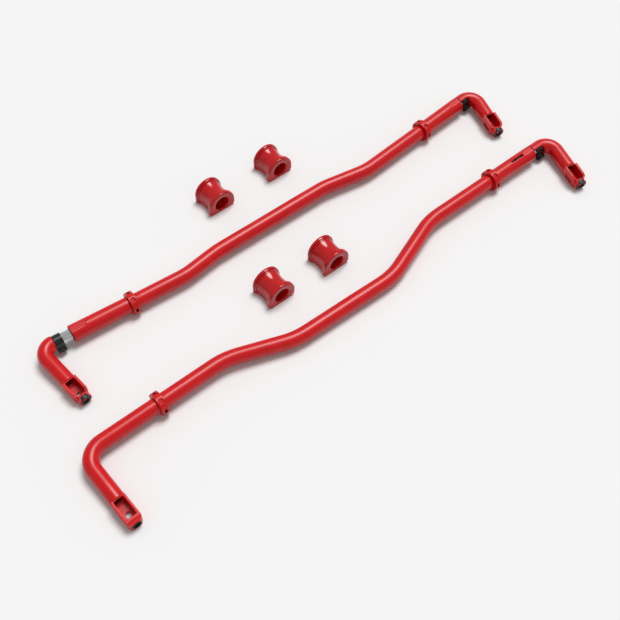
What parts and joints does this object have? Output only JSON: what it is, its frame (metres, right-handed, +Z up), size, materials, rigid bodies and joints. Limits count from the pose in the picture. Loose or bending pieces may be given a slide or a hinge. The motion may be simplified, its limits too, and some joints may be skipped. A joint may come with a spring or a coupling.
{
  "type": "sway bar",
  "caption": "Front and rear adjustable sway bars with sliding end arms, clamp collars and D-shaped bushings, laid out flat as a set.",
  "frame": {"origin": "on the surface that the set lies on, under the middle of its bounding box", "axes": "+X along the bars towards the front bar's adjustable end, +Y from the arms' tips towards the bars, +Z up"},
  "size_m": [1.035, 0.4527, 0.0415],
  "materials": {
    "red_powder_coat": "satin powder coat",
    "red_elastomer": "smooth glossy moulded polyurethane",
    "bright_steel": "ground",
    "black_steel": "black oxide",
    "black_rubber": "matte"
  },
  "bodies": {
    "front_bar": {"front_bar_tube": "red_powder_coat", "front_left_yoke": "red_powder_coat", "front_left_yoke_liner": "black_rubber", "front_right_sleeve": "red_powder_coat", "front_right_mouth_seal": "black_rubber"},
    "rear_bar": {"rear_bar_tube": "red_powder_coat", "rear_left_sleeve": "red_powder_coat", "rear_left_mouth_seal": "black_rubber", "rear_right_sleeve": "red_powder_coat", "rear_right_mouth_seal": "black_rubber"},
    "front_left_bushing": {"front_left_bushing": "red_elastomer"},
    "front_right_bushing": {"front_right_bushing": "red_elastomer"},
    "rear_left_bushing": {"rear_left_bushing": "red_elastomer"},
    "rear_right_bushing": {"rear_right_bushing": "red_elastomer"},
    "front_left_collar": {"front_left_collar_upper_half": "red_powder_coat", "front_left_collar_lower_half": "red_powder_coat", "front_left_collar_front_screw": "black_steel", "front_left_collar_rear_screw": "black_steel"},
    "front_right_collar": {"front_right_collar_upper_half": "red_powder_coat", "front_right_collar_lower_half": "red_powder_coat", "front_right_collar_front_screw": "black_steel", "front_right_collar_rear_screw": "black_steel"},
    "rear_left_collar": {"rear_left_collar_upper_half": "red_powder_coat", "rear_left_collar_lower_half": "red_powder_coat", "rear_left_collar_front_screw": "black_steel", "rear_left_collar_rear_screw": "black_steel"},
    "rear_right_collar": {"rear_right_collar_upper_half": "red_powder_coat", "rear_right_collar_lower_half": "red_powder_coat", "rear_right_collar_front_screw": "black_steel", "rear_right_collar_rear_screw": "black_steel"},
    "rear_left_arm": {"rear_left_stub_shaft": "bright_steel", "rear_left_elbow_arm": "red_powder_coat", "rear_left_yoke": "red_powder_coat", "rear_left_yoke_liner": "black_rubber"},
    "rear_left_clamp": {"rear_left_lock_clamp": "black_steel", "rear_left_clamp_screw": "black_steel"},
    "front_right_arm": {"front_right_stub_shaft": "bright_steel", "front_right_elbow_arm": "red_powder_coat", "front_right_yoke": "red_powder_coat", "front_right_yoke_liner": "black_rubber"},
    "front_right_clamp": {"front_right_lock_clamp": "black_steel", "front_right_clamp_screw": "black_steel"},
    "rear_right_arm": {"rear_right_stub_shaft": "bright_steel", "rear_right_elbow_arm": "red_powder_coat", "rear_right_yoke": "red_powder_coat", "rear_right_yoke_liner": "black_rubber"},
    "rear_right_clamp": {"rear_right_lock_clamp": "black_steel", "rear_right_clamp_screw": "black_steel"}
  },
  "joints": [
    {"name": "rear_bar_lift", "type": "slide", "parent": "front_bar", "child": "rear_bar", "axis": [0, 0, 1], "range_m": [0, 0.1]},
    {"name": "front_left_bushing_lift", "type": "slide", "parent": "front_bar", "child": "front_left_bushing", "axis": [0, 0, 1], "range_m": [0, 0.1]},
    {"name": "front_right_bushing_lift", "type": "slide", "parent": "front_bar", "child": "front_right_bushing", "axis": [0, 0, 1], "range_m": [0, 0.1]},
    {"name": "rear_left_bushing_lift", "type": "slide", "parent": "front_bar", "child": "rear_left_bushing", "axis": [0, 0, 1], "range_m": [0, 0.1]},
    {"name": "rear_right_bushing_lift", "type": "slide", "parent": "front_bar", "child": "rear_right_bushing", "axis": [0, 0, 1], "range_m": [0, 0.1]},
    {"name": "front_left_collar_slide", "type": "slide", "parent": "front_bar", "child": "front_left_collar", "axis": [1, 0, 0], "range_m": [-0.03, 0.03]},
    {"name": "front_right_collar_slide", "type": "slide", "parent": "front_bar", "child": "front_right_collar", "axis": [-1, 0, 0], "range_m": [0, 0.03]},
    {"name": "rear_left_collar_slide", "type": "slide", "parent": "rear_bar", "child": "rear_left_collar", "axis": [0.9957, -0.0924, -0.0063], "range_m": [0, 0.03]},
    {"name": "rear_right_collar_slide", "type": "slide", "parent": "rear_bar", "child": "rear_right_collar", "axis": [-0.9977, -0.0678, -0.0073], "range_m": [0, 0.03]},
    {"name": "rear_left_arm_slide", "type": "slide", "parent": "rear_bar", "child": "rear_left_arm", "axis": [-0.9957, 0.0924, 0.0063], "range_m": [-0.01, 0.015]},
    {"name": "rear_left_clamp_turn", "type": "hinge", "parent": "rear_left_arm", "child": "rear_left_clamp", "pos_m": [-0.42556, 0.10895, 0.0199], "axis": [-0.9957, 0.0924, 0.0063], "range_deg": [0, 40]},
    {"name": "front_right_arm_slide", "type": "slide", "parent": "front_bar", "child": "front_right_arm", "axis": [1, 0, 0], "range_m": [0, 0.015]},
    {"name": "front_right_clamp_turn", "type": "hinge", "parent": "front_right_arm", "child": "front_right_clamp", "pos_m": [0.47993, -0.08758, 0.019], "axis": [-1, 0, 0], "range_deg": [0, 40]},
    {"name": "rear_right_arm_slide", "type": "slide", "parent": "rear_bar", "child": "rear_right_arm", "axis": [0.9977, 0.0678, 0.0073], "range_m": [0, 0.015]},
    {"name": "rear_right_clamp_turn", "type": "hinge", "parent": "rear_right_arm", "child": "rear_right_clamp", "pos_m": [0.46812, 0.09261, 0.01993], "axis": [-0.9977, -0.0678, -0.0073], "range_deg": [0, 40]}
  ]
}
